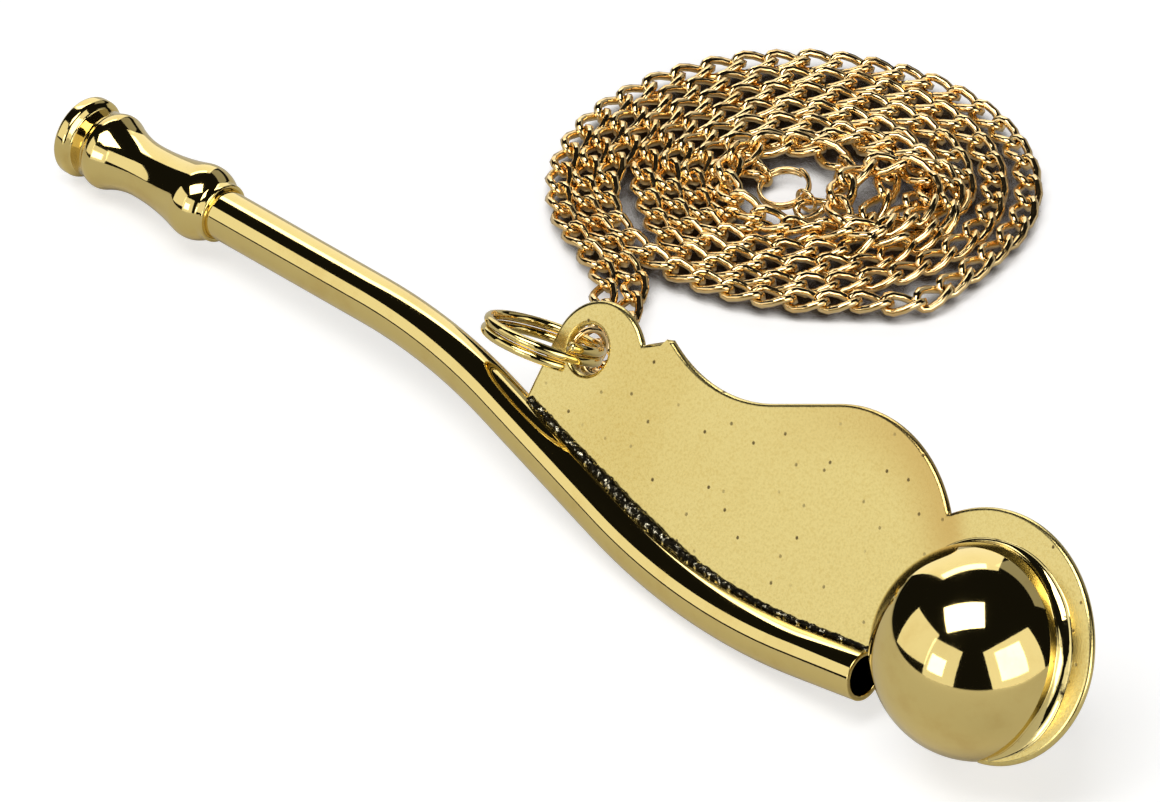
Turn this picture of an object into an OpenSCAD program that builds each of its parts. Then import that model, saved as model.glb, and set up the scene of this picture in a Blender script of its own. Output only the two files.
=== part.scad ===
// Boatswain call of polished brass, lying on its mouthpiece and gun, with its neck chain coiled beside it.
// The call is drawn in the plane of its keel: x runs from the mouth to the buoy, y up the keel, z out of its
// front face, with the buoy's centre at the origin. place_call() then leans it back on the floor, z = 0.

/* [Buoy] */
// Outer radius of the hollow buoy
buoy_r = 9.5; // [8:0.1:11]
// Wall of the two pressed buoy shells
buoy_wall = 0.6; // [0.4:0.05:1]
// Radius of the shot hole that the gun blows across
shot_r = 2.8; // [2:0.1:3]
// Direction of the shot hole seen from the buoy's centre
shot_angle = 231; // [226:1:238]

/* [Gun] */
// Outer radius of the gun tube
gun_r = 2.28; // [1.8:0.02:2.6]
// Wall of the gun tube
gun_wall = 0.45; // [0.3:0.05:0.7]
// Radius of both bends at the tube's axis
bend_r = 65; // [50:1:80]
// Muzzle of the gun along the keel, from the buoy's centre
muzzle_x = -9.8; // [-12:0.1:-9.6]
// Muzzle of the gun below the buoy's centre
muzzle_y = -7.8; // [-9:0.1:-7]
// Rise of the axis at the muzzle
muzzle_angle = 12; // [8:0.5:16]
// Fall of the axis along the middle of the gun
slope_angle = -10.2; // [-14:0.2:-6]
// Rise of the axis along the mouth end
mouth_angle = 5; // [2:0.5:8]
// Straight length behind the muzzle
muzzle_len = 7.2; // [5:0.1:10]
// Straight length between the two bends
slope_len = 16.5; // [15:0.5:20]
// Straight length from the upper bend to the mouthpiece
mouth_len = 19.3; // [12:0.5:30]

/* [Mouthpiece] */
// Length of the turned mouthpiece
mouthpiece_len = 18.2; // [16:0.5:22]
// Radius of the lip flange
flange_r = 3.7; // [3.4:0.05:4.2]
// Radius of the groove behind the flange
groove_r = 3.1; // [2.8:0.05:3.2]
// Radius of the bead next to the groove
bead_r = 3.55; // [3.3:0.05:3.8]
// Radius of the waist
waist_r = 2.55; // [2.3:0.05:2.8]
// Radius of the bulb next to the gun
bulb_r = 3.5; // [3.2:0.05:3.8]
// Radius of the rim where the gun goes in
rim_r = 2.75; // [2.7:0.05:3.1]
// Radius of the mouth's bore
bore_r = 1.5; // [1.2:0.05:1.7]
// Depth that the gun goes into the mouthpiece
socket_depth = 5; // [3:0.5:7]
// Clearance of the soldered socket round the gun
socket_gap = 0.03; // [0.02:0.01:0.05]

/* [Keel] */
// Thickness of the keel plate
keel_t = 0.8; // [0.7:0.05:1.1]
// Left edge of the keel
keel_left = -55.5; // [-56:0.1:-54.8]
// Radius of the crescent round the buoy
crescent_r = 12.5; // [11.5:0.05:14]
// Direction where the crescent starts to taper
taper_angle = 24; // [10:1:30]
// Radius of the crescent's tapering tail
tail_r = 9.65; // [9.5:0.05:10]
// Direction of the crescent's tip
tip_angle = -58; // [-60:1:-48]
// Radius of the hump next to the crescent
hump_r = 13.1; // [12:0.1:13.6]
// Radius of the hollow between the hump and the horn
hollow_r = 14.5; // [13.5:0.1:14.6]
// Radius of the lobe round the eye
lobe_r = 5.2; // [4.8:0.05:5.6]
// Radius of the eye for the split ring
eye_r = 2.2; // [2.1:0.05:2.5]
// Radius of the solder beads along the gun
gun_bead_r = 0.6; // [0.5:0.05:0.7]
// Radius of the solder beads round the buoy
buoy_bead_r = 0.36; // [0.3:0.02:0.5]

/* [Split ring] */
// Radius of the split ring at its wire
ring_r = 4.9; // [4.6:0.1:5.6]
// Thickness of the split ring's wire
ring_wire = 0.85; // [0.7:0.05:0.9]
// Step from one turn of the split ring to the next
ring_pitch = 1.3; // [1.28:0.02:1.36]

/* [Chain] */
// Thickness of the round that the chain's links fill
chain_d = 1.6; // [1.4:0.05:1.62]
// Wire of the chain's links
link_wire = 0.5; // [0.4:0.05:0.55]
// Distance between neighbouring strands of the coil
strand_step = 2.6; // [2.5:0.01:2.65]
// Outer radius of the coil at its strand, along its longer axis
coil_r = 22.6; // [22.4:0.1:23.2]
// Width of the coil as a share of its length
coil_ratio = 0.86; // [0.85:0.01:0.92]
// Radius of the joining ring in the middle of the coil, at its wire
join_r = 2.25; // [2.1:0.05:2.3]
// Thickness of the joining ring's wire
join_wire = 0.6; // [0.5:0.05:0.65]

/* [Stance] */
// Lean of the keel from the floor
lean = 56; // [45:1:75]

/* [Hidden] */
$fn = 48;

brass = [0.86, 0.74, 0.38];
brass_pale = [0.87, 0.79, 0.47];
solder_grey = [0.55, 0.47, 0.28];
chain_gold = [0.85, 0.62, 0.28];
past = 0.5;
lap = 0.5;
bend_thin = 0.01;

function heading(a) = [cos(a), sin(a)];
function upward(a) = [-sin(a), cos(a)];
function unit(v) = v / norm(v);

// Axis of the gun, from the muzzle back to the mouth
muzzle = [muzzle_x, muzzle_y];
belly_end = muzzle - muzzle_len * heading(muzzle_angle);
belly_mid = belly_end + bend_r * upward(muzzle_angle);
belly_start = belly_mid - bend_r * upward(slope_angle);
shoulder_end = belly_start - slope_len * heading(slope_angle);
shoulder_mid = shoulder_end - bend_r * upward(slope_angle);
shoulder_start = shoulder_mid + bend_r * upward(mouth_angle);
gun_joint = shoulder_start - mouth_len * heading(mouth_angle);
mouth = gun_joint - mouthpiece_len * heading(mouth_angle);
belly_turn = muzzle_angle - slope_angle;
shoulder_turn = mouth_angle - slope_angle;

// Height of the buoy's centre, with the lowest of the gun and the flange on the floor
belly_low = belly_mid[1] - bend_r;
buoy_z = max(gun_r - belly_low * sin(lean), flange_r - mouth[1] * sin(lean));

// Lower edge of the keel, which stands on the gun with a hair of solder between
keel_seat = 0.02;
seam_start = belly_start + (gun_r + keel_seat) * upward(slope_angle);
seam_end = muzzle + (gun_r + keel_seat) * upward(muzzle_angle);

// Places on the keel
hump_c = [-18.4, -0.5];
hollow_c = [-38.05, 20.25];
lobe_c = [-50.3, 1.5];
eye_c = [-51.6, 1.8];
horn_tip = [-43.8, 6.95];
horn_foot = [-46, 5.4];
tail_c = (crescent_r - tail_r) * heading(taper_angle);
tail_step = 0.04;
// Straight stretch that touches the hollow's arc and the hump's arc
span = hump_c - hollow_c;
touch_angle = atan2(span[1], span[0]) - acos((hump_r + hollow_r) / norm(span));
hollow_end = hollow_c + hollow_r * heading(touch_angle);
hump_start = hump_c - hump_r * heading(touch_angle);

// Split ring, threaded through the eye with its axis near the keel's up direction
ring_seat = [-0.05, -0.85];
ring_tilt = 7.5;
ring_c = eye_c + ring_seat - ring_r * heading(ring_tilt);
ring_loops = 2;
ring_start = 150;
ring_steps = 24 * ring_loops;
// End links hang on the back of the ring
end_link_in = 1.5;
end_link_wire = 0.6;
end_link_drop = 0.22;
end_link_angles = [258, 282];

// Coil of the neck chain on the floor. Its outer turns lie a little off its middle.
coil_outer_c = [-66.2, 40.2];
coil_inner_c = [-67.9, 38.4];
coil_turn = 42;
coil_right = heading(coil_turn);
coil_away = upward(coil_turn);
coil_start = 214;
coil_step = 15;
coil_rings_a = 77;
coil_rings_b = 65;
coil_r_in = coil_r - 2 * strand_step * coil_rings_a * coil_step / 360;
chain_z = chain_d / 2 * cos(22.5) + 0.01;

// Route of the two leads from the end links down to the floor and along it, before the coil
lead_a = [[-57.6, 4.1, 5.8], [-57.9, 4.9, 4.4], [-59.2, 7, 2.4], [-61.6, 9.8, 1.1], [-64.2, 13, 0.8],
  [-67, 16.2, 0.8], [-69, 18, 0.8]];
lead_b = [[-55.5, 4.2, 6], [-55.7, 5.1, 4.6], [-57, 7.6, 2.6], [-59.4, 10.8, 1.1], [-62.2, 14.2, 0.8],
  [-65, 17.6, 0.8], [-66.8, 19.6, 0.8]];

// Points of a strand that spirals clockwise inwards, with a straight run of one diameter at each end,
// the inner one turned to the middle of the coil
function coil_point(rho, a) = [
  each coil_inner_c + (coil_outer_c - coil_inner_c) * (rho - coil_r_in) / (coil_r - coil_r_in)
    + rho * cos(a) * coil_right + rho * coil_ratio * sin(a) * coil_away, chain_z];
function coil_turns(rho, count) = [
  for (i = [0 : count]) coil_point(rho - 2 * strand_step * i * coil_step / 360, coil_start - i * coil_step)];
function with_ends(pts) = let (last = pts[len(pts) - 1])
  [pts[0] + chain_d * unit(pts[0] - pts[1]), each pts,
    last + chain_d * unit([each coil_inner_c, chain_z] - last)];
coil_a_pts = with_ends(coil_turns(coil_r, coil_rings_a));
coil_b_pts = with_ends(coil_turns(coil_r - strand_step, coil_rings_b));
lead_a_pts = [each lead_a, coil_a_pts[0]];
lead_b_pts = [each lead_b, coil_b_pts[0]];

// Middle of the split ring's turns at an angle, along the ring's axis
function ring_mid(a) = ring_pitch * ((a - ring_start) / 360 - 0.5);
// A place on the split ring: turned by a round the ring, moved out by up along the ring's axis
function on_ring(a, up) = [
  each ring_c + ring_r * cos(a) * heading(ring_tilt) + up * upward(ring_tilt), ring_r * sin(a)];
ring_pts = [for (i = [0 : ring_steps])
  on_ring(ring_start + 360 * ring_loops * i / ring_steps, ring_pitch * (i / ring_steps - 0.5) * ring_loops)];

// Least gap of each wound tube, measured between points that are more than half a turn apart
function least_gap(p, q, skip, d) = min([for (i = [0 : len(p) - 1], j = [0 : len(q) - 1])
  if (abs(i - j) > skip) norm(p[i] - q[j])]) - d;
echo(coil_a_gap = least_gap(coil_a_pts, coil_a_pts, 12, chain_d));
echo(coil_b_gap = least_gap(coil_b_pts, coil_b_pts, 12, chain_d));
echo(coil_a_to_b_gap = least_gap(coil_a_pts, coil_b_pts, -1, chain_d));
echo(split_ring_gap = least_gap(ring_pts, ring_pts, 12, ring_wire));

// Joining ring between the strands' inner ends, carried by one link to each
coil_end_a = coil_a_pts[len(coil_a_pts) - 1];
coil_end_b = coil_b_pts[len(coil_b_pts) - 1];
join_lean = 12;
join_line = atan2(coil_end_b[1] - coil_end_a[1], coil_end_b[0] - coil_end_a[0]);
join_link_in = join_wire / 2 + 0.4;
join_link_gap = 0.1;
join_hook_gap = 0.12;
join_mid = [(coil_end_a[0] + coil_end_b[0]) / 2, (coil_end_a[1] + coil_end_b[1]) / 2,
  join_link_in + link_wire + 0.05];

// Tube of the given number of sides along a list of points
function tangent(pts, i) = let (n = len(pts) - 1, before = min(i, n - 1), after = max(i, 1))
  unit(unit(pts[before + 1] - pts[before]) + unit(pts[after] - pts[after - 1]));
module swept_tube(pts, d, sides, guide, turn = 0) {
  count = len(pts);
  rings = [for (i = [0 : count - 1])
    let (t = tangent(pts, i), s = unit(cross(t, guide)), u = cross(s, t))
    for (k = [0 : sides - 1])
      let (a = turn + 360 * k / sides) pts[i] + d / 2 * (cos(a) * s + sin(a) * u)];
  last = (count - 1) * sides;
  faces = [
    for (i = [0 : count - 2], k = [0 : sides - 1])
      let (a = i * sides + k, b = i * sides + (k + 1) % sides)
      each [[a, a + sides, b], [b, a + sides, b + sides]],
    for (k = [1 : sides - 2]) each [[0, k, k + 1], [last, last + k + 1, last + k]]];
  polyhedron(rings, faces, convexity = 10);
}

module place_call() translate([0, 0, buoy_z]) rotate([lean, 0, 0]) children();

// Puts a piece turned about z onto the gun's axis, with its z along the axis
module on_axis(p, a) translate([p[0], p[1], 0]) rotate([0, 0, a]) rotate([0, 90, 0]) children();

// Round rod beside the gun's axis from the muzzle to the slope, moved up the keel and out of its face.
// The straights lap into the bends, which are drawn a hair thinner, so that each run is one solid.
module seam_rod(r, up, out, slope, front) translate([0, 0, out]) {
  on_axis(belly_end - lap * heading(muzzle_angle) + up * upward(muzzle_angle), muzzle_angle)
    cylinder(r = r, h = lap + muzzle_len + front);
  translate([belly_mid[0], belly_mid[1], 0]) rotate([0, 0, slope_angle - 90])
    rotate_extrude(angle = belly_turn) translate([bend_r - up, 0]) circle(r = r - bend_thin);
  on_axis(belly_start - slope * heading(slope_angle) + up * upward(slope_angle), slope_angle)
    cylinder(r = r, h = slope + lap);
}

// Whole run of the gun as a solid rod, past the muzzle by front and into the mouthpiece by back
module gun_rod(r, front, back) {
  seam_rod(r, 0, 0, slope_len + lap, front);
  translate([shoulder_mid[0], shoulder_mid[1], 0]) rotate([0, 0, slope_angle + 90])
    rotate_extrude(angle = shoulder_turn) translate([bend_r, 0]) circle(r = r - bend_thin);
  on_axis(gun_joint - back * heading(mouth_angle), mouth_angle) cylinder(r = r, h = back + mouth_len + lap);
}

module gun_tube() color(brass) place_call() difference() {
  gun_rod(gun_r, 0, socket_depth);
  gun_rod(gun_r - gun_wall, past, socket_depth + past);
}

// Points of an arc in the profile of the mouthpiece, r across and z along it
function arc_points(c, r, from, to, steps) = [
  for (i = [0 : steps]) c + r * heading(from + (to - from) * i / steps)];

// Turned outline of the mouthpiece from the lip at z = 0 to the rim at the gun
flange_edge = 0.45;
flange_w = 1.45;
bead_z = 4.1;
bulb_z = mouthpiece_len - 2.8;
waist_z = (bead_z + bulb_z) / 2 - 1.2;
bead_curve = 1.5;
bulb_curve = 3;
function waist_blend(r, curve, reach) = (pow(reach, 2) + pow(r - curve - waist_r, 2) - pow(curve, 2))
  / (2 * (r - waist_r));
bead_waist = waist_blend(bead_r, bead_curve, waist_z - bead_z);
bulb_waist = waist_blend(bulb_r, bulb_curve, bulb_z - waist_z);
bead_turn = atan2(waist_z - bead_z, waist_r + bead_waist - bead_r + bead_curve);
bulb_turn = atan2(bulb_z - waist_z, waist_r + bulb_waist - bulb_r + bulb_curve);
rim_turn = acos((rim_r - bulb_r + bulb_curve) / bulb_curve);
mouthpiece_outline = [
  [0, 0],
  each arc_points([flange_r - flange_edge, flange_edge], flange_edge, -90, 0, 5),
  each arc_points([flange_r - flange_edge, flange_w - flange_edge], flange_edge, 0, 70, 4),
  [groove_r, flange_w + 0.1],
  [groove_r, flange_w + 0.5],
  each arc_points([bead_r - bead_curve, bead_z], bead_curve, -38, bead_turn, 8),
  each arc_points([waist_r + bead_waist, waist_z], bead_waist, 180 + bead_turn, 180, 6),
  each arc_points([waist_r + bulb_waist, waist_z], bulb_waist, 180, 180 - bulb_turn, 8),
  each arc_points([bulb_r - bulb_curve, bulb_z], bulb_curve, -bulb_turn, rim_turn, 10),
  [rim_r, mouthpiece_len - 0.3],
  [rim_r - 0.15, mouthpiece_len],
  [0, mouthpiece_len]];

module mouthpiece() color(brass) place_call() on_axis(mouth, mouth_angle) difference() {
  rotate_extrude() polygon(mouthpiece_outline);
  translate([0, 0, -past]) cylinder(r = bore_r, h = mouthpiece_len + 2 * past);
  translate([0, 0, mouthpiece_len - socket_depth]) cylinder(r = gun_r + socket_gap, h = socket_depth + past);
}

// Wedge of directions seen from the buoy's centre
module directions(from, to)
  polygon([[0, 0], for (i = [0 : 4]) 2 * crescent_r * heading(from + (to - from) * i / 4)]);

module keel_outline() difference() {
  union() {
    difference() {
      polygon([
        [keel_left, seam_start[1] + (keel_left - seam_start[0]) * tan(slope_angle)],
        each arc_points(belly_mid, bend_r - gun_r - keel_seat, slope_angle - 90, muzzle_angle - 90, 16),
        seam_end,
        seam_end + 4 * heading(muzzle_angle),
        [0, 0],
        hump_c + (hump_r - 1) * heading(45),
        hump_start, hollow_end, horn_tip, horn_foot, lobe_c,
        [keel_left, lobe_c[1]]]);
      translate(hollow_c) circle(r = hollow_r);
    }
    intersection() {
      translate(hump_c) circle(r = hump_r);
      translate([hump_c[0] - hump_r, 0]) square([2 * hump_r, hump_r]);
    }
    translate(lobe_c) circle(r = lobe_r);
    intersection() {
      circle(r = crescent_r);
      directions(taper_angle, 150);
    }
    intersection() {
      translate(tail_c) circle(r = tail_r - tail_step);
      directions(tip_angle, taper_angle + 10);
    }
  }
  translate(eye_c) circle(r = eye_r);
  circle(r = buoy_r - buoy_wall);
}

module keel_plate() translate([0, 0, -keel_t / 2]) linear_extrude(keel_t) keel_outline();

module keel() color(brass_pale) place_call() keel_plate();

// One pressed half of the buoy, seated on the keel where the keel reaches and on the other half elsewhere
module buoy_shell(side) color(brass) place_call() difference() {
  sphere(r = buoy_r);
  sphere(r = buoy_r - buoy_wall);
  translate([0, 0, -side * buoy_r]) cube(2 * buoy_r, center = true);
  keel_plate();
  rotate([0, 0, shot_angle]) rotate([0, 90, 0]) cylinder(r = shot_r, h = 2 * buoy_r);
}
module buoy_front_shell() buoy_shell(1);
module buoy_rear_shell() buoy_shell(-1);

// Layer between the two faces of the keel, which the beads of solder stay out of
module keel_layer() cube([4 * bend_r, 4 * bend_r, keel_t], center = true);

// Bead of solder in the corner between the gun and the keel
bead_lift = 0.42;
gun_solder_len = (belly_start[0] - keel_left) / cos(slope_angle) - gun_bead_r;
module gun_solder(side) color(solder_grey) place_call() difference() {
  seam_rod(gun_bead_r, gun_r + bead_lift * gun_bead_r, side * (keel_t / 2 + bead_lift * gun_bead_r),
    gun_solder_len, 0);
  gun_rod(gun_r, past, 0);
  keel_layer();
}
module gun_solder_front() gun_solder(1);
module gun_solder_rear() gun_solder(-1);

// Bead of solder round the buoy, on one face of the keel
buoy_solder_from = tip_angle + 8;
buoy_solder_to = 200;
module buoy_solder(side) color(solder_grey) place_call() difference() {
  rotate([0, 0, buoy_solder_from]) rotate_extrude(angle = buoy_solder_to - buoy_solder_from)
    translate([buoy_r + bead_lift * buoy_bead_r, side * (keel_t / 2 + bead_lift * buoy_bead_r)])
      circle(r = buoy_bead_r);
  sphere(r = buoy_r);
  keel_layer();
}
module buoy_solder_front() buoy_solder(1);
module buoy_solder_rear() buoy_solder(-1);

module split_ring() color(brass) place_call()
  swept_tube(ring_pts, ring_wire, 6, [each upward(ring_tilt), 0], 30);

// Round link that hangs on the back of the split ring, round its turns
module end_link(a) color(chain_gold) place_call()
  translate(on_ring(a, ring_mid(a)) - end_link_drop * [0, sin(lean), cos(lean)])
    rotate([0, 0, ring_tilt]) rotate([0, -a, 0]) rotate_extrude()
      translate([end_link_in + end_link_wire / 2, 0]) circle(d = end_link_wire);
module end_link_a() end_link(end_link_angles[0]);
module end_link_b() end_link(end_link_angles[1]);

module chain_lead_a() color(chain_gold) swept_tube(lead_a_pts, chain_d, 8, [0.6, 0.8, 0], 22.5);
module chain_lead_b() color(chain_gold) swept_tube(lead_b_pts, chain_d, 8, [0.6, 0.8, 0], 22.5);
module chain_coil_a() color(chain_gold) swept_tube(coil_a_pts, chain_d, 6, [0, 0, 1]);
module chain_coil_b() color(chain_gold) swept_tube(coil_b_pts, chain_d, 6, [0, 0, 1]);

// Long link standing on edge between the joining ring and the end of a strand
module join_link(end) {
  hook = join_mid + join_r * unit([end[0] - join_mid[0], end[1] - join_mid[1], 0]);
  reach = norm([end[0] - hook[0], end[1] - hook[1]]);
  bow = join_link_in + link_wire / 2;
  start = join_link_in - join_wire / 2 - join_hook_gap;
  straight = max(reach - join_link_gap - start - join_link_in - link_wire, 0.1);
  color(chain_gold) translate(hook) rotate([0, 0, atan2(end[1] - hook[1], end[0] - hook[0])])
    translate([start, 0, 0]) rotate([90, 0, 0]) {
      rotate([0, 0, 90]) rotate_extrude(angle = 180) translate([bow, 0]) circle(d = link_wire);
      translate([straight, 0, 0]) rotate([0, 0, -90]) rotate_extrude(angle = 180)
        translate([bow, 0]) circle(d = link_wire);
      for (side = [-1, 1]) translate([0, side * bow, 0]) rotate([0, 90, 0])
        cylinder(d = link_wire, h = straight);
    }
}
module join_link_a() join_link(coil_end_a);
module join_link_b() join_link(coil_end_b);

module joining_ring() color(chain_gold) translate(join_mid)
  rotate([0, 0, join_line]) rotate([join_lean, 0, 0])
    rotate_extrude() translate([join_r, 0]) circle(d = join_wire);

mouthpiece();
gun_tube();
keel();
buoy_front_shell();
buoy_rear_shell();
gun_solder_front();
gun_solder_rear();
buoy_solder_front();
buoy_solder_rear();
split_ring();
end_link_a();
end_link_b();
chain_lead_a();
chain_lead_b();
chain_coil_a();
chain_coil_b();
join_link_a();
join_link_b();
joining_ring();
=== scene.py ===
import math
import bpy
import bmesh
from mathutils import Matrix, Quaternion, Vector, noise


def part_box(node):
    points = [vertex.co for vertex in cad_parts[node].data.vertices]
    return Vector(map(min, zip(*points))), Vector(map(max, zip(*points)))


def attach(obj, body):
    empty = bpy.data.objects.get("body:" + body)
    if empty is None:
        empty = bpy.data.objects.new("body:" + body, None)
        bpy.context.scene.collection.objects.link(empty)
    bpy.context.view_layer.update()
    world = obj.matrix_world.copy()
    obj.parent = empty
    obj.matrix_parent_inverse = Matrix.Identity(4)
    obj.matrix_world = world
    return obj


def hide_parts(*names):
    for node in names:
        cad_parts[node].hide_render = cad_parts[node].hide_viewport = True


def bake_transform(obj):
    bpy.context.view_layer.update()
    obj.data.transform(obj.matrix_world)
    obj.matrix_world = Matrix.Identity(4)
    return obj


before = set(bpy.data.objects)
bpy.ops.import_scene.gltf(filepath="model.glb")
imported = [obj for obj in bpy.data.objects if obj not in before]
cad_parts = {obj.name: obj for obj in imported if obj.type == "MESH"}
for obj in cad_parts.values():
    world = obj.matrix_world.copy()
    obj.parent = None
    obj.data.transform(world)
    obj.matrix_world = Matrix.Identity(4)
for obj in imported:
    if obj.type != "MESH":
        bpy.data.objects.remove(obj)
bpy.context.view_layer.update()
print("frame loaded, nodes:", len(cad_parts))

mm = 0.001
weld = 1e-7
leastSpan = 1e-9
sin = lambda a: math.sin(math.radians(a))
cos = lambda a: math.cos(math.radians(a))

# the call is drawn flat in millimetres, x from the mouth to the buoy, y up the keel, z out of its front face
stance = {"lean": 56, "buoyRadius": 9.5}
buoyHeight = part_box("buoy_front_shell")[1].z / mm - stance["buoyRadius"]
callFrame = (
    Matrix.Scale(mm, 4)
    @ Matrix.Translation((0, 0, buoyHeight))
    @ Matrix.Rotation(math.radians(stance["lean"]), 4, "X")
)
floorFrame = Matrix.Scale(mm, 4)


def heading(a):
    return Vector((cos(a), sin(a), 0))


def upward(a):
    return Vector((-sin(a), cos(a), 0))


def arcPoints(centre, radius, start, stop, steps):
    return [centre + radius * heading(start + (stop - start) * i / steps) for i in range(steps + 1)]


# camera: long lens from above, in front and to the right of the buoy
camera = {
    "azimuth": 48.5, "elevation": 39.3, "lens": 800, "distance": 2.22, "lookAt": (-33.0, -16.66, 28.08),
    "clip": (0.05, 20),
}


def makeCamera(s):
    a, e = s["azimuth"], s["elevation"]
    back = Vector((sin(a) * cos(e), -cos(a) * cos(e), sin(e)))
    data = bpy.data.cameras.new("camera")
    data.lens = s["lens"]
    data.clip_start, data.clip_end = s["clip"]
    cam = bpy.data.objects.new("camera", data)
    cam.location = Vector(s["lookAt"]) * mm + back * s["distance"]
    cam.rotation_mode = "QUATERNION"
    cam.rotation_quaternion = (-back).to_track_quat("-Z", "Y")
    bpy.context.scene.collection.objects.link(cam)
    bpy.context.scene.camera = cam


makeCamera(camera)
print("camera placed")


# shader sockets that take plain operators
class Flow:
    def __init__(self, paint, socket):
        self.paint = paint
        self.socket = socket

    def math(self, operation, other, swapped=False):
        pair = (other, self) if swapped else (self, other)
        return self.paint.node("ShaderNodeMath", {"operation": operation}, {0: pair[0], 1: pair[1]})

    def __add__(self, other):
        return self.math("ADD", other)

    def __radd__(self, other):
        return self.math("ADD", other, True)

    def __sub__(self, other):
        return self.math("SUBTRACT", other)

    def __rsub__(self, other):
        return self.math("SUBTRACT", other, True)

    def __mul__(self, other):
        return self.math("MULTIPLY", other)

    def __rmul__(self, other):
        return self.math("MULTIPLY", other, True)


class Paint:
    def __init__(self, name):
        self.material = bpy.data.materials.new(name)
        self.material.use_nodes = True
        self.tree = self.material.node_tree
        self.shader = self.tree.nodes["Principled BSDF"]
        self.place = self.node("ShaderNodeTexCoord", {}, {}, "Object")

    # one node: its type, its settings, then values or links by socket, giving back one output
    def node(self, kind, settings, sockets, output=0):
        made = self.tree.nodes.new(kind)
        for key, value in settings.items():
            setattr(made, key, value)
        for key, value in sockets.items():
            if isinstance(value, Flow):
                self.tree.links.new(value.socket, made.inputs[key])
            else:
                made.inputs[key].default_value = value
        return Flow(self, made.outputs[output])

    def speckle(self, scale, detail, rough, place=None):
        sockets = {"Vector": place or self.place, "Scale": scale, "Detail": detail, "Roughness": rough}
        return self.node("ShaderNodeTexNoise", {}, sockets)

    def stretched(self, turn, scale):
        sockets = {"Vector": self.place, "Rotation": turn, "Scale": scale}
        return self.node("ShaderNodeMapping", {}, sockets)

    def between(self, value, low, high):
        sockets = {"Value": value, "From Min": low, "From Max": high}
        return self.node("ShaderNodeMapRange", {"interpolation_type": "SMOOTHSTEP"}, sockets)

    def mix(self, factor, first, second):
        settings = {"data_type": "RGBA"}
        return self.node("ShaderNodeMix", settings, {0: factor, 6: first, 7: second}, 2)

    def bump(self, height, strength, distance):
        return self.node("ShaderNodeBump", {}, {"Height": height, "Strength": strength, "Distance": distance})

    def finish(self, **values):
        for key, value in values.items():
            socket = self.shader.inputs[key.replace("_", " ")]
            if isinstance(value, Flow):
                self.tree.links.new(value.socket, socket)
            else:
                socket.default_value = value
        return self.material


# a noise is given as its scale, detail and roughness
polish = {
    "bright": (0.80, 0.63, 0.24, 1), "warm": (0.70, 0.50, 0.16, 1), "rough": 0.045, "smear": (260, 4, 0.6),
    "haze": (0.45, 0.75), "hazeShare": 0.5, "hazeRough": 0.05, "scratch": (9000, 2, 0.6),
    "scratchTurn": (0.6, 0.2, 0.9), "scratchStretch": (1, 0.06, 1), "scratchSeen": (0.62, 0.8),
    "scratchRough": 0.05, "scratchDent": 0.08, "bump": 0.25, "dent": 0.00002,
}


def polishedBrass(s):
    paint = Paint("polishedBrass")
    smear = paint.speckle(*s["smear"])
    lines = paint.speckle(*s["scratch"], paint.stretched(s["scratchTurn"], s["scratchStretch"]))
    haze = paint.between(smear, *s["haze"])
    colour = paint.mix(haze * s["hazeShare"], s["bright"], s["warm"])
    rough = s["rough"] + haze * s["hazeRough"] + paint.between(lines, *s["scratchSeen"]) * s["scratchRough"]
    normal = paint.bump(smear + lines * s["scratchDent"], s["bump"], s["dent"])
    return paint.finish(Base_Color=colour, Roughness=rough, Normal=normal, Metallic=1.0)


plate = {
    "bright": (0.76, 0.62, 0.24, 1), "warm": (0.66, 0.49, 0.15, 1), "pit": (0.12, 0.08, 0.03, 1),
    "worn": (0.6, 0.4, 0.12, 1), "rough": 0.15, "grain": (4200, 3, 0.65), "patch": (60, 3, 0.5),
    "grainSeen": (0.42, 0.7), "grainShare": 0.6, "grainRough": 0.12, "grainDent": 0.6,
    "patchSeen": (0.45, 0.75), "patchShare": 0.4, "pitScale": 360, "pitSize": (0.03, 0.075),
    "pitChosen": (0.35, 0.9), "pitShare": 0.9, "pitRough": 0.3, "humpAt": (-0.0184, -0.0005, 0),
    "humpRadius": 0.0131, "rimFrom": 0.55, "rimPast": 1.2, "wornAcross": (-0.034, -0.012),
    "wornUp": (0.0, 0.008), "wornShare": 0.55, "wornPatch": 0.5, "bump": 0.4, "dent": 0.00004,
}


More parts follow.
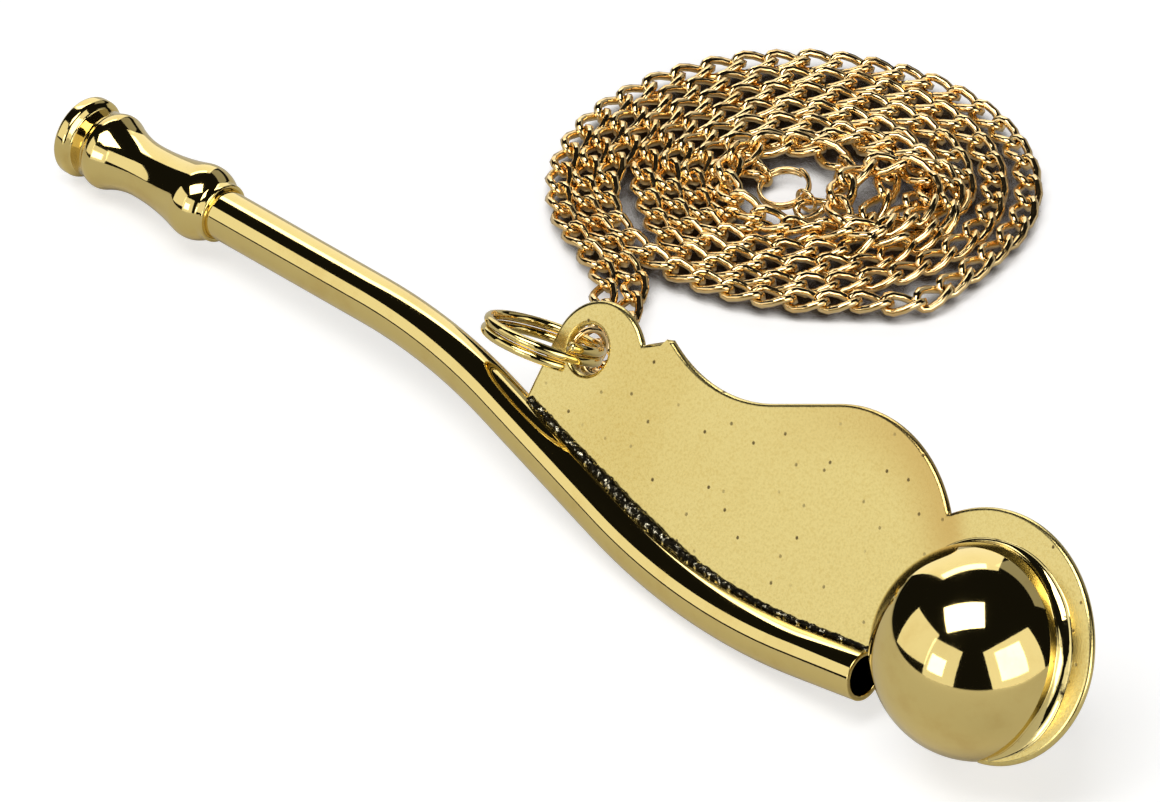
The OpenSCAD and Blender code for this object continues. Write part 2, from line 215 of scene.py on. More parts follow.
def keelBrass(s):
    paint = Paint("keelBrass")
    grain = paint.speckle(*s["grain"])
    patch = paint.speckle(*s["patch"])
    # pits and wear are laid out on the plate's own plane
    flat = callFrame.inverted() @ Matrix.Scale(1 / mm, 4)
    spin = (math.radians(-stance["lean"]), 0, 0)
    place = paint.node("ShaderNodeMapping", {}, {
        "Vector": paint.place, "Rotation": spin, "Location": flat.to_translation() * mm})
    cells = {"Vector": place, "Scale": s["pitScale"], "Randomness": 1.0}
    twoWay = {"voronoi_dimensions": "2D"}
    spot = paint.node("ShaderNodeTexVoronoi", twoWay, cells)
    cellColour = paint.node("ShaderNodeTexVoronoi", twoWay, cells, "Color")
    chosen = paint.node("ShaderNodeSeparateColor", {}, {0: cellColour})
    pits = (1 - paint.between(spot, *s["pitSize"])) * paint.between(chosen, *s["pitChosen"])
    parts = {"Vector": place}
    x = paint.node("ShaderNodeSeparateXYZ", {}, parts, "X")
    y = paint.node("ShaderNodeSeparateXYZ", {}, parts, "Y")
    reach = paint.node("ShaderNodeVectorMath", {"operation": "DISTANCE"}, {0: place, 1: s["humpAt"]}, "Value")
    rim = paint.between(reach, s["humpRadius"] * s["rimFrom"], s["humpRadius"])
    past = paint.between(reach, s["humpRadius"], s["humpRadius"] * s["rimPast"])
    worn = rim * (1 - past) * paint.between(x, *s["wornAcross"]) * paint.between(y, *s["wornUp"])
    dulled = paint.between(patch, *s["patchSeen"]) * s["patchShare"]
    grained = paint.between(grain, *s["grainSeen"]) * s["grainShare"]
    tone = paint.mix(dulled + grained, s["bright"], s["warm"])
    browned = paint.mix(worn * s["wornShare"] + worn * patch * s["wornPatch"], tone, s["worn"])
    colour = paint.mix(pits * s["pitShare"], browned, s["pit"])
    rough = s["rough"] + grain * s["grainRough"] + pits * s["pitRough"]
    normal = paint.bump(grain * s["grainDent"] - pits, s["bump"], s["dent"])
    return paint.finish(Base_Color=colour, Roughness=rough, Normal=normal, Metallic=1.0)


# the dark colour on the solder is partly burnt flux and partly painted shade: the dark line of shade in the
# joints of the gun and the buoy with the keel
solder = {
    "bright": (0.92, 0.85, 0.62, 1), "burntAndShade": (0.012, 0.01, 0.006, 1), "rough": 0.12, "burntAndShadeRough": 0.2,
    "lumps": (2600, 3, 0.6), "stainAndShade": (2200, 4, 0.65), "stainAndShadeSeen": (0.36, 0.46), "bump": 0.7, "dent": 0.0002,
}
seam = {
    "bright": (0.8, 0.65, 0.27, 1), "burntAndShade": (0.03, 0.022, 0.01, 1), "rough": 0.05, "burntAndShadeRough": 0.2,
    "lumps": (500, 3, 0.6), "stainAndShade": (420, 4, 0.65), "stainAndShadeSeen": (0.58, 0.72), "bump": 0.7, "dent": 0.00003,
}


def solderMetal(s, name):
    paint = Paint(name)
    lumps = paint.speckle(*s["lumps"])
    # blotches of the dark colour: burnt flux, and painted shade of the joint
    burntAndShade = paint.between(paint.speckle(*s["stainAndShade"]), *s["stainAndShadeSeen"])
    colour = paint.mix(burntAndShade, s["bright"], s["burntAndShade"])
    rough = s["rough"] + burntAndShade * s["burntAndShadeRough"]
    normal = paint.bump(lumps, s["bump"], s["dent"])
    return paint.finish(Base_Color=colour, Roughness=rough, Normal=normal, Metallic=1.0)


wireFinish = {
    "bright": (0.94, 0.70, 0.34, 1), "warm": (0.8, 0.47, 0.15, 1), "rough": 0.08, "smear": (420, 4, 0.6),
    "haze": (0.4, 0.7), "hazeShare": 0.6, "hazeRough": 0.06, "scratch": (7000, 2, 0.6),
    "scratchRough": 0.05, "scratchDent": 0.2, "bump": 0.25, "dent": 0.00002,
}


def chainGold(s):
    paint = Paint("chainGold")
    smear = paint.speckle(*s["smear"])
    lines = paint.speckle(*s["scratch"])
    haze = paint.between(smear, *s["haze"])
    colour = paint.mix(haze * s["hazeShare"], s["bright"], s["warm"])
    rough = s["rough"] + haze * s["hazeRough"] + lines * s["scratchRough"]
    normal = paint.bump(smear + lines * s["scratchDent"], s["bump"], s["dent"])
    return paint.finish(Base_Color=colour, Roughness=rough, Normal=normal, Metallic=1.0)


brass = polishedBrass(polish)
keelMetal = keelBrass(plate)
solderBead = solderMetal(solder, "gunSolder")
seamBead = solderMetal(seam, "buoySolder")
chainMetal = chainGold(wireFinish)
print("materials made")


# a mesh piece from points and faces in millimetres
def makePiece(name, points, faces, material, place):
    mesh = bpy.data.meshes.new(name)
    mesh.from_pydata([tuple(p) for p in points], [], faces)
    return finishPiece(name, mesh, material, place)


def finishPiece(name, mesh, material, place):
    mesh.transform(place)
    shape = bmesh.new()
    shape.from_mesh(mesh)
    bmesh.ops.remove_doubles(shape, verts=shape.verts, dist=weld)
    bmesh.ops.recalc_face_normals(shape, faces=shape.faces)
    for face in shape.faces:
        face.smooth = True
    shape.to_mesh(mesh)
    shape.free()
    mesh.materials.clear()
    mesh.materials.append(material)
    piece = bpy.data.objects.new(name, mesh)
    bpy.context.scene.collection.objects.link(piece)
    return piece


def quadRows(rows, across, closedAcross=True, closedAlong=False):
    faces = []
    for i in range(rows if closedAlong else rows - 1):
        j = (i + 1) % rows
        for k in range(across if closedAcross else across - 1):
            m = (k + 1) % across
            faces.append((i * across + k, i * across + m, j * across + m, j * across + k))
    return faces


# round wire along points, its ring carried along without twist
def sweptWire(points, radius, sides, closed=False, bulge=None):
    count = len(points)
    rings = []
    side = None
    for i, p in enumerate(points):
        before = points[i - 1] if closed or i else p
        after = points[(i + 1) % count] if closed or i < count - 1 else p
        along = (after - before).normalized()
        side = along.orthogonal() if side is None else side - along * side.dot(along)
        side.normalize()
        rise = along.cross(side)
        for k in range(sides):
            a = 360 * k / sides
            out = cos(a) * side + sin(a) * rise
            spot = p + radius * out
            rings.append(spot + out * bulge(spot) if bulge else spot)
    faces = quadRows(count, sides, True, closed)
    if not closed:
        faces += [tuple(range(sides)), tuple(range(len(rings) - sides, len(rings)))]
    return rings, faces


# outline turned about z: a list of (radius, z)
def turned(outline, sides, angle=360, closed=False):
    whole = angle == 360
    columns = sides if whole else sides + 1
    points = []
    for r, z in outline:
        for k in range(columns):
            a = angle * k / sides
            points.append(Vector((r * cos(a), r * sin(a), z)))
    return points, quadRows(len(outline), columns, whole, closed)


def roundedCorner(corner, radius, start, stop, steps=4):
    centre = Vector((corner[0], corner[1], 0))
    return [(p.x, p.y) for p in arcPoints(centre, radius, start, stop, steps)]


# gun: thin tube with two bends, its axis found from the muzzle back to the mouth
gun = {
    "radius": 2.28, "wall": 0.45, "bend": 65, "muzzle": (-9.8, -7.8), "muzzleAngle": 12, "slopeAngle": -10.2,
    "mouthAngle": 5, "muzzleLength": 7.2, "slopeLength": 16.5, "mouthLength": 19.3, "socket": 4.8, "lip": 0.1,
    "shoulderSteps": 24, "bellySteps": 36, "sides": 64,
}


def gunStations(s):
    muzzle = Vector((*s["muzzle"], 0))
    m, t, u = s["muzzleAngle"], s["slopeAngle"], s["mouthAngle"]
    bellyEnd = muzzle - s["muzzleLength"] * heading(m)
    bellyMid = bellyEnd + s["bend"] * upward(m)
    bellyStart = bellyMid - s["bend"] * upward(t)
    shoulderEnd = bellyStart - s["slopeLength"] * heading(t)
    shoulderMid = shoulderEnd - s["bend"] * upward(t)
    shoulderStart = shoulderMid + s["bend"] * upward(u)
    joint = shoulderStart - s["mouthLength"] * heading(u)
    run = [(joint - s["socket"] * heading(u), u), (joint, u)]
    shoulder = arcPoints(shoulderMid, s["bend"], u + 90, t + 90, s["shoulderSteps"])
    belly = arcPoints(bellyMid, s["bend"], t - 90, m - 90, s["bellySteps"])
    run += [(p, u + (t - u) * i / s["shoulderSteps"]) for i, p in enumerate(shoulder)]
    run += [(p, t + (m - t) * i / s["bellySteps"]) for i, p in enumerate(belly)]
    run += [(muzzle, m)]
    places = {"muzzle": muzzle, "bellyMid": bellyMid, "joint": joint}
    return run, places


gunRun, gunPlaces = gunStations(gun)


def gunPiece(s):
    inner = s["radius"] - s["wall"]
    rows = [(p, a, s["radius"]) for p, a in gunRun[:-1]]
    end, angle = gunRun[-1]
    for r, z in roundedCorner((s["radius"] - s["lip"], -s["lip"]), s["lip"], 0, 90):
        rows.append((end + z * heading(angle), angle, r))
    for r, z in roundedCorner((inner + s["lip"], -s["lip"]), s["lip"], 90, 180):
        rows.append((end + z * heading(angle), angle, r))
    rows += [(p, a, inner) for p, a in reversed(gunRun[:-1])]
    points = []
    for p, a, r in rows:
        for k in range(s["sides"]):
            turn = 360 * k / s["sides"]
            points.append(p + r * (cos(turn) * upward(a) + sin(turn) * Vector((0, 0, 1))))
    faces = quadRows(len(rows), s["sides"], True, True)
    piece = makePiece("gunTube", points, faces, brass, callFrame)
    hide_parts("gun_tube")
    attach(piece, "call")


gunPiece(gun)
print("gun drawn")

# mouthpiece: lip flange, groove, bead, waist and bulb, with z along its axis from the lip
mouthpiece = {
    "length": 18.2, "flange": 3.7, "flangeEdge": 0.45, "flangeWidth": 1.45, "flangeTurn": 70, "groove": 3.1,
    "grooveCurve": 0.22, "grooveBack": 0.3, "grooveTurn": (250, 110), "bead": 3.55, "beadZ": 4.1,
    "beadCurve": 1.5, "beadFrom": -38, "waist": 2.55, "waistBack": 1.2, "bulb": 3.5, "bulbCurve": 3,
    "bulbBack": 2.8, "rim": 2.75, "rimBack": 0.35, "rimEdge": 0.15, "bore": 1.5, "boreLip": 0.4, "socket": 5,
    "fit": 0.02, "sides": 72,
    "steps": {"bore": 6, "lip": 8, "flange": 6, "groove": 8, "bead": 16, "beadWaist": 14, "bulbWaist": 16,
              "bulb": 20, "rim": 4},
}


def mouthpieceOutline(s):
    bulbZ = s["length"] - s["bulbBack"]
    waistZ = (s["beadZ"] + bulbZ) / 2 - s["waistBack"]

    def blend(r, curve, reach):
        return (reach ** 2 + (r - curve - s["waist"]) ** 2 - curve ** 2) / (2 * (r - s["waist"]))

    beadWaist = blend(s["bead"], s["beadCurve"], waistZ - s["beadZ"])
    bulbWaist = blend(s["bulb"], s["bulbCurve"], bulbZ - waistZ)
    beadOut = s["waist"] + beadWaist - s["bead"] + s["beadCurve"]
    bulbOut = s["waist"] + bulbWaist - s["bulb"] + s["bulbCurve"]
    beadTurn = math.degrees(math.atan2(waistZ - s["beadZ"], beadOut))
    bulbTurn = math.degrees(math.atan2(bulbZ - waistZ, bulbOut))
    rimTurn = math.degrees(math.acos((s["rim"] - s["bulb"] + s["bulbCurve"]) / s["bulbCurve"]))
    edge, lip, groove, rim = s["flangeEdge"], s["boreLip"], s["grooveCurve"], s["rimEdge"]
    bead, bulb, n = s["beadCurve"], s["bulbCurve"], s["steps"]
    flangeAt = (s["flange"] - edge, s["flangeWidth"] - edge)
    grooveAt = (s["groove"] + groove, s["flangeWidth"] + s["grooveBack"])
    beadSide = (s["waist"] + beadWaist, waistZ)
    bulbSide = (s["waist"] + bulbWaist, waistZ)
    socket = gun["radius"] + s["fit"]
    outline = [(s["bore"], s["length"] - s["socket"])]
    outline += roundedCorner((s["bore"] + lip, lip), lip, 180, 270, n["bore"])
    outline += roundedCorner((s["flange"] - edge, edge), edge, -90, 0, n["lip"])
    outline += roundedCorner(flangeAt, edge, 0, s["flangeTurn"], n["flange"])
    outline += roundedCorner(grooveAt, groove, *s["grooveTurn"], n["groove"])
    outline += roundedCorner((s["bead"] - bead, s["beadZ"]), bead, s["beadFrom"], beadTurn, n["bead"])
    outline += roundedCorner(beadSide, beadWaist, 180 + beadTurn, 180, n["beadWaist"])[1:]
    outline += roundedCorner(bulbSide, bulbWaist, 180, 180 - bulbTurn, n["bulbWaist"])[1:]
    outline += roundedCorner((s["bulb"] - bulb, bulbZ), bulb, -bulbTurn, rimTurn, n["bulb"])[1:]
    outline += [(s["rim"] + s["fit"], s["length"] - s["rimBack"])]
    outline += roundedCorner((s["rim"] - rim, s["length"] - rim), rim, 0, 90, n["rim"])
    outline += [(socket, s["length"]), (socket, s["length"] - s["socket"])]
    return outline


def mouthpiecePiece(s):
    points, faces = turned(mouthpieceOutline(s), s["sides"], closed=True)
    mouth = gunPlaces["joint"] - s["length"] * heading(gun["mouthAngle"])
    place = (
        callFrame
        @ Matrix.Translation(mouth)
        @ Matrix.Rotation(math.radians(gun["mouthAngle"]), 4, "Z")
        @ Matrix.Rotation(math.radians(90), 4, "Y")
    )
    piece = makePiece("mouthpieceTurned", points, faces, brass, place)
    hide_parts("mouthpiece")
    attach(piece, "call")


mouthpiecePiece(mouthpiece)
print("mouthpiece turned")

# keel: flat plate with rounded edges, from its outline
keel = {
    "thick": 0.8, "edge": 0.36, "left": -55.5, "crescent": 12.5, "taper": 24, "tail": 9.65, "tip": -58,
    "hump": 13.1, "humpAt": (-18.4, -0.5), "hollow": 14.5, "hollowAt": (-38.05, 20.25), "lobe": 5.2,
    "lobeAt": (-50.3, 1.5), "eye": 2.2, "eyeAt": (-51.6, 1.8), "hornTip": (-43.8, 6.95),
    "hornFoot": (-46, 5.4), "inner": 8.6, "lap": 0.25, "pastMuzzle": 2.6, "flatFace": 0.9999, "edgeSteps": 3,
    "steps": {"gun": 40, "muzzle": 12, "ball": 96, "tail": 40, "crescent": 56, "hump": 60, "hollow": 40,
              "lobe": 40, "eye": 64},
}


def angleAt(centre, point):
    return math.degrees(math.atan2(point[1] - centre[1], point[0] - centre[0]))


# where two circles cross, the crossing on the chosen side of the line from the first centre to the second
def crossing(c1, r1, c2, r2, side):
    c1, c2 = Vector((*c1, 0)), Vector((*c2, 0))
    gap = (c2 - c1).length
    reach = (gap ** 2 + r1 ** 2 - r2 ** 2) / (2 * gap)
    rise = math.sqrt(r1 ** 2 - reach ** 2)
    along = (c2 - c1) / gap
    return c1 + along * reach + side * rise * Vector((-along.y, along.x, 0))


def arcBetween(centre, radius, first, last, steps):
    return arcPoints(Vector((centre[0], centre[1], 0)), radius, first, last, steps)


def keelOutline(s):
    n = s["steps"]
    mid, bend = gunPlaces["bellyMid"], gun["bend"] - gun["radius"] + s["lap"]
    foot = arcPoints(mid, bend, gun["slopeAngle"] - 90, gun["muzzleAngle"] - 90, n["gun"])
    corner = foot[0] + (s["left"] - foot[0].x) / cos(gun["slopeAngle"]) * heading(gun["slopeAngle"])
    muzzleTop = gunPlaces["muzzle"] + (gun["radius"] - s["lap"]) * upward(gun["muzzleAngle"])
    ballSide = muzzleTop + s["pastMuzzle"] * heading(gun["muzzleAngle"])
    tailAt = (s["crescent"] - s["tail"]) * heading(s["taper"])
    along = tailAt.dot(heading(s["tip"]))
    tipTail = heading(s["tip"]) * (along + math.sqrt(s["tail"] ** 2 - tailAt.length_squared + along ** 2))
    span = Vector((*s["humpAt"], 0)) - Vector((*s["hollowAt"], 0))
    touch = angleAt(s["hollowAt"], s["humpAt"])
    touch -= math.degrees(math.acos((s["hump"] + s["hollow"]) / span.length))
    notch = crossing(s["humpAt"], s["hump"], (0, 0), s["crescent"], 1)
    hornTip = Vector((*s["hornTip"], 0))
    hornFoot = Vector((*s["hornFoot"], 0))
    outer = [corner, *foot, muzzleTop, ballSide]
    outer += arcBetween((0, 0), s["inner"], angleAt((0, 0), ballSide) + 360, 180, n["muzzle"])[1:]
    outer += arcBetween((0, 0), s["inner"], 180, s["tip"], n["ball"])[1:]
    outer += arcBetween(tailAt, s["tail"], angleAt(tailAt, tipTail), s["taper"], n["tail"])
    outer += arcBetween((0, 0), s["crescent"], s["taper"], angleAt((0, 0), notch), n["crescent"])[1:]
    outer += arcBetween(s["humpAt"], s["hump"], angleAt(s["humpAt"], notch), 180 + touch, n["hump"])[1:]
    outer += arcBetween(s["hollowAt"], s["hollow"], touch, angleAt(s["hollowAt"], hornTip), n["hollow"])
    lobeTop = angleAt(s["lobeAt"], hornFoot)
    outer += [hornTip, hornFoot] + arcBetween(s["lobeAt"], s["lobe"], lobeTop, 180, n["lobe"])
    return outer


def keelPiece(s):
    data = bpy.data.curves.new("keelOutline", "CURVE")
    data.dimensions = "2D"
    data.fill_mode = "BOTH"
    eye = arcBetween(s["eyeAt"], s["eye"], 0, 360, s["steps"]["eye"])[:-1]
    for loop in (keelOutline(s), eye):
        spline = data.splines.new("POLY")
        spline.points.add(len(loop) - 1)
        for point, spot in zip(spline.points, loop):
            point.co = (spot.x, spot.y, 0, 1)
        spline.use_cyclic_u = True
    data.extrude = s["thick"] / 2 - s["edge"]
    data.bevel_depth = s["edge"]
    data.bevel_resolution = s["edgeSteps"]
    data.offset = -s["edge"]
    holder = bpy.data.objects.new("keelOutline", data)
    bpy.context.scene.collection.objects.link(holder)
    depsgraph = bpy.context.evaluated_depsgraph_get()
    mesh = bpy.data.meshes.new_from_object(holder.evaluated_get(depsgraph))
    bpy.data.objects.remove(holder)
    piece = finishPiece("keelPlate", mesh, keelMetal, callFrame)
    flat = (callFrame.to_3x3() @ Vector((0, 0, 1))).normalized()
    shape = bmesh.new()
    shape.from_mesh(mesh)
    for edge in shape.edges:
        level = [abs(face.normal.dot(flat)) > s["flatFace"] for face in edge.link_faces]
        if any(level):
            edge.smooth = all(level)
    shape.to_mesh(mesh)
    shape.free()
    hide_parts("keel")
    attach(piece, "call")


keelPiece(keel)
print("keel cut")

# buoy: two pressed half shells, turned about the line through the shot hole
buoy = {"radius": stance["buoyRadius"], "wall": 0.6, "shot": 2.8, "shotAngle": 231, "rows": 80, "sides": 72}


def buoyPiece(s, name, node, side):
    start = math.degrees(math.asin(s["shot"] / s["radius"]))
    inner = s["radius"] - s["wall"]
    outline = [(s["radius"] * sin(a), s["radius"] * cos(a))
               for a in (180 + (start - 180) * i / s["rows"] for i in range(s["rows"] + 1))]
    outline += [(inner * sin(a), inner * cos(a))
                for a in (start + (180 - start) * i / s["rows"] for i in range(s["rows"] + 1))]
    points, faces = turned(outline, s["sides"], 180)
    columns = s["sides"] + 1
    half = s["rows"] + 1
    for edge in (0, columns - 1):
        for i in range(s["rows"]):
            a, b = i * columns + edge, (i + 1) * columns + edge
            c, d = (2 * half - 2 - i) * columns + edge, (2 * half - 1 - i) * columns + edge
            faces.append((a, b, c, d))
    # the turning axis lies along the shot hole's direction, and the half turn on the chosen side of the keel
    place = (
        callFrame
        @ Matrix.Rotation(math.radians(s["shotAngle"]), 4, "Z")
        @ Matrix.Rotation(math.radians(90), 4, "Y")
        @ Matrix.Rotation(math.radians(90 if side > 0 else -90), 4, "Z")
    )
    piece = makePiece(name, points, faces, brass, place)
    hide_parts(node)
    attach(piece, "call")


buoyPiece(buoy, "buoyFront", "buoy_front_shell", 1)
buoyPiece(buoy, "buoyRear", "buoy_rear_shell", -1)
print("buoy pressed")

# solder on both faces of the keel: a lumpy bead along the gun and a smooth fillet round the buoy
bead = {
    "gunRadius": 0.3, "lift": 0.42, "lumps": 0.13, "lumpScale": 1.6, "fine": 4.4, "fineShare": 0.6,
    "swell": 0.3, "swellAt": 0.36, "swellWidth": 0.17, "thinner": 0.08, "fromLeft": 0.6, "step": 0.16,
    "sides": 12, "fillet": 1.1, "filletWave": 0.1, "waveScale": 3.1, "filletFrom": 8, "filletTo": 200,
    "filletRows": 240, "filletSteps": 10, "growOver": 35, "tipShare": 0.22, "narrowBy": 105, "narrowOver": 55,
    "topShare": 0.36, "sunk": 0.08, "inBall": 0.3, "lip": 0.02,
}


# bead along the gun: swollen left of its middle and thinner towards the muzzle
def lumpy(s):
    length = gun["muzzle"][0] - keel["left"]

    def bulge(spot):
        share = (spot.x - keel["left"]) / length
        swell = s["swell"] * math.exp(-((share - s["swellAt"]) / s["swellWidth"]) ** 2)
        lump = noise.noise(spot * s["lumpScale"]) + s["fineShare"] * noise.noise(spot * s["fine"])
        return swell + s["lumps"] * lump - s["thinner"] * share
    return bulge


# smooth hollow fillet between the buoy and one face of the keel: widest on the right, narrow at its ends
def filletShape(s, side):
    ball, face = stance["buoyRadius"], keel["thick"] / 2
    start = keel["tip"] + s["filletFrom"]
    rows, steps, tip, top = s["filletRows"], s["filletSteps"], s["tipShare"], s["topShare"]
    low, inBall = face - s["sunk"], ball - s["inBall"]
    points = []
    for i in range(rows + 1):
        a = start + (s["filletTo"] - start) * i / rows
        grown = min(1, (a - start) / s["growOver"])
        spread = min(1, max(0, (s["narrowBy"] - a) / s["narrowOver"]))
        wave = 1 + s["filletWave"] * noise.noise(heading(a) * s["waveScale"])
        f = s["fillet"] * wave
        f *= (tip + (1 - tip) * grown * grown * (3 - 2 * grown)) * (top + (1 - top) * spread)
        middle = Vector((math.sqrt((ball + f) ** 2 - (face + f) ** 2), face + f))
        first = math.degrees(math.atan2(middle.y, middle.x)) + 180
        profile = [(middle.x + f * cos(t), middle.y + f * sin(t))
                   for t in (first + (270 - first) * k / steps for k in range(steps + 1))]
        profile += [(middle.x, low), (inBall, low), (inBall, profile[0][1] - s["lip"])]
        points += [r * heading(a) + Vector((0, 0, side * z)) for r, z in profile]
    across = len(points) // (rows + 1)
    faces = quadRows(rows + 1, across)
    faces += [tuple(range(across)), tuple(range(len(points) - across, len(points)))]
    return points, faces


def resampled(points, step):
    lengths = [0]
    for p, q in zip(points, points[1:]):
        lengths.append(lengths[-1] + (q - p).length)
    count = max(2, round(lengths[-1] / step))
    spots, i = [], 0
    for k in range(count + 1):
        along = lengths[-1] * k / count
        while i < len(points) - 2 and lengths[i + 1] < along:
            i += 1
        share = (along - lengths[i]) / max(lengths[i + 1] - lengths[i], leastSpan)
        spots.append(points[i].lerp(points[i + 1], share))
    return spots


def solderPieces(s):
    up = gun["radius"] + s["lift"] * s["gunRadius"]
    out = keel["thick"] / 2 + s["lift"] * s["gunRadius"]
    left = keel["left"] + s["fromLeft"]
    run = [p + up * upward(a) for p, a in gunRun if p.x > left]
    start = run[0] + (left - run[0].x) / cos(gun["slopeAngle"]) * heading(gun["slopeAngle"])
    for face, side in (("Front", 1), ("Rear", -1)):
        line = [p + Vector((0, 0, side * out)) for p in [start, *run]]
        points, faces = sweptWire(resampled(line, s["step"]), s["gunRadius"], s["sides"], False, lumpy(s))
        gunBead = makePiece("gunSolder" + face, points, faces, solderBead, callFrame)
        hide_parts("gun_solder_" + face.lower())
        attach(gunBead, "call")
        points, faces = filletShape(s, side)
        buoyBead = makePiece("buoySolder" + face, points, faces, seamBead, callFrame)
        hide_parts("buoy_solder_" + face.lower())
        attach(buoyBead, "call")


solderPieces(bead)
print("solder laid")

# split ring through the eye, and the two end links that hang on its back
ring = {
    "radius": 5.1, "wire": 0.9, "pitch": 0.95, "seat": (-0.05, -1.1), "tilt": 7.5, "turns": 2, "start": 24,
    "turnSteps": 100, "sides": 16, "linkInner": 1.5, "linkWire": 0.6, "linkDrop": 0.22,
    "linkAngles": (258, 282), "linkSteps": 48, "linkSides": 12,
}
ringCentre = Vector((*keel["eyeAt"], 0)) + Vector((*ring["seat"], 0)) - ring["radius"] * heading(ring["tilt"])


def onRing(s, a, up):
    flat = ringCentre + s["radius"] * cos(a) * heading(s["tilt"]) + up * upward(s["tilt"])
    return flat + Vector((0, 0, s["radius"] * sin(a)))


def ringPieces(s):
    steps = s["turnSteps"] * s["turns"]
    line = [onRing(s, s["start"] + 360 * s["turns"] * i / steps, s["pitch"] * s["turns"] * (i / steps - 0.5))
            for i in range(steps + 1)]
    points, faces = sweptWire(line, s["wire"] / 2, s["sides"])
    piece = makePiece("splitRing", points, faces, brass, callFrame)
    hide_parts("split_ring")
    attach(piece, "ring")
    made = []
    lean = stance["lean"]
    for letter, a in zip("AB", s["linkAngles"]):
        middle = s["pitch"] * ((a - s["start"]) / 360 - 0.5)
        around = s["linkInner"] + s["linkWire"] / 2
        loop = [around * heading(360 * i / s["linkSteps"]) for i in range(s["linkSteps"])]
        points, faces = sweptWire(loop, s["linkWire"] / 2, s["linkSides"], True)
        place = (
            callFrame
            @ Matrix.Translation(onRing(s, a, middle) - s["linkDrop"] * Vector((0, sin(lean), cos(lean))))
            @ Matrix.Rotation(math.radians(s["tilt"]), 4, "Z")
            @ Matrix.Rotation(math.radians(-a), 4, "Y")
        )
        link = makePiece("endLink" + letter, points, faces, chainMetal, place)
        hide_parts("end_link_" + letter.lower())
        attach(link, "ring")
        made.append(link)
    return made


endLinks = ringPieces(ring)
print("split ring threaded")

# neck chain: two strands of twisted links, from the end links to a flat coil, joined in its middle
chain = {
    "solid": 1.6, "width": 2.75, "pitch": 2.85, "wire": 0.8, "twist": -50, "square": 2.6, "lift": 0.5,
    "step": 2.6, "coil": 22.6, "ratio": 0.86, "outerAt": (-66.2, 40.2), "innerAt": (-67.9, 38.4), "turn": 42,
    "start": 214, "ringStep": 15, "ringsA": 77, "ringsB": 65, "height": 0.749, "roll": 9, "seed": 7,
    "easeIn": 6, "easeOut": 4, "smooth": 8, "linkSteps": 14, "linkSides": 5, "leave": 56, "view": 48.5,
    "spillRoll": 75, "spillGrain": 0.7, "spillRow": 3.3,
}
leadA = [
    (-57.6, 4.1, 5.8), (-57.9, 4.9, 4.4), (-59.2, 7, 2.4), (-61.6, 9.8, 1.1), (-64.2, 13, 0.8),
    (-67, 16.2, 0.8), (-69, 18, 0.8),
]
leadB = [
    (-55.5, 4.2, 6), (-55.7, 5.1, 4.6), (-57, 7.6, 2.6), (-59.4, 10.8, 1.1), (-62.2, 14.2, 0.8),
    (-65, 17.6, 0.8), (-66.8, 19.6, 0.8),
]
# strand B leaves its spiral for loose loops and one lap: right, back and up from the joining ring
spill = [
    (5, 6.4, 1.7), (9.4, 5.2, 2.1), (13, 2.2, 2.3), (14.8, -2, 2.4), (13.2, -6, 2.3), (9.6, -8.2, 2.2),
    (6, -7, 2.3), (4.7, -3.7, 2.6), (6.2, -0.2, 2.9), (9.6, 1.2, 3), (12.4, -0.9, 3), (12.6, -4.6, 2.9),
    (9.8, -7, 2.7), (6, -7.3, 2.3), (2, -6.4, 1.9), (-2, -5, 1.9), (-4.7, -2, 2.2), (-4.9, 1.6, 2.3),
    (-2.6, 4.7, 2.1), (1.2, 5.4, 1.9), (4.4, 3.6, 1.8), (5.5, 0.4, 1.7), (4.8, -2.2, 1.6),
]


def coilPoint(s, rho, a):
    inner = s["coil"] - 2 * s["step"] * s["ringsA"] * s["ringStep"] / 360
    share = (rho - inner) / (s["coil"] - inner)
    middle = Vector((*s["innerAt"], 0)).lerp(Vector((*s["outerAt"], 0)), share)
    flat = middle + rho * cos(a) * heading(s["turn"]) + rho * s["ratio"] * sin(a) * upward(s["turn"])
    return flat + Vector((0, 0, s["height"]))


def coilPoints(s, rho, rings):
    turns = [coilPoint(s, rho - 2 * s["step"] * i * s["ringStep"] / 360, s["start"] - i * s["ringStep"])
             for i in range(rings + 1)]
    first, last = turns[0], turns[-1]
    inward = (Vector((*s["innerAt"], s["height"])) - last).normalized()
    return [first + s["solid"] * (first - turns[1]).normalized(), *turns, last + s["solid"] * inward]


# how far a strand strays from its even spiral: outwards, upwards and in roll
disorder = {
    "mess": 1.2, "heap": 1.1, "tumble": 70, "grain": 0.16, "tangleAt": -14, "tangleFade": 1.3,
    "tangleFrom": 17.5, "tangleOver": 5, "tangleIn": 7, "heapLeast": 0.45, "heapSwing": 1.2, "heapGrain": 1.4,
    "heapPlace": (9, 4, 0), "rollGrain": 2.2, "rollPlace": (2, 17, 0), "gap": 1.6, "gapAt": (200, 24),
    "gapRow": 15.5, "gapOut": 0.4, "gapIn": -0.6, "bulge": 1.8, "bulgeAt": (-54, 13), "bulgeRow": 17,
}


